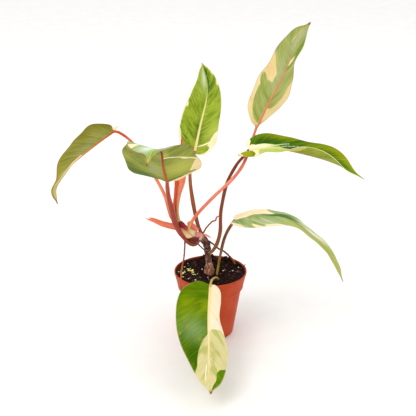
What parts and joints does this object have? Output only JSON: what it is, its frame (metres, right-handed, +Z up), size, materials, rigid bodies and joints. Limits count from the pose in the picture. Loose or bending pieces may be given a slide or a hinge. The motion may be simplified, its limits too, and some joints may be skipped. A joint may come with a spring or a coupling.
{
  "type": "potted philodendron plant",
  "caption": "Potted aroid house plant: a bent cane in a round tapered nursery pot of peat, with long-stalked variegated leaves, sheaths and aerial roots.",
  "frame": {"origin": "centre of the pot's flat underside, on the surface that it stands on", "axes": "+Z up; +Y away from the viewer, +X to the right in the front view, where the large front leaf hangs towards -Y"},
  "size_m": [0.4926, 0.3708, 0.5234],
  "materials": {
    "pot": "satin moulded plastic",
    "soil": "moist crumbly peat",
    "bark": "dry bark",
    "cane": "ringed bark",
    "leaf": "waxy, veined, cream variegation",
    "new_leaf": "smooth, rolled",
    "petiole_pink": "smooth, waxy",
    "petiole_brown": "smooth, waxy",
    "petiole_olive": "smooth, waxy",
    "sheath": "papery",
    "root": "matt"
  },
  "bodies": {
    "root": {"pot": "pot", "soil": "soil", "twig": "bark", "cane": "cane", "leaf_a": "leaf", "leaf_b": "leaf", "leaf_c": "leaf", "leaf_d": "leaf", "leaf_e": "leaf", "leaf_f": "leaf", "leaf_g": "leaf", "new_leaf": "new_leaf", "petiole_a": "petiole_pink", "petiole_b": "petiole_brown", "petiole_c": "petiole_brown", "petiole_d": "petiole_pink", "petiole_e": "petiole_brown", "petiole_f": "petiole_brown", "petiole_g": "petiole_olive", "spear_sheath": "sheath", "old_sheath": "sheath", "torn_sheath": "sheath", "petiole_b_sheath": "sheath", "root_left": "root", "root_right": "root", "root_curl": "root", "root_black": "root", "root_short": "root"}
  },
  "joints": []
}
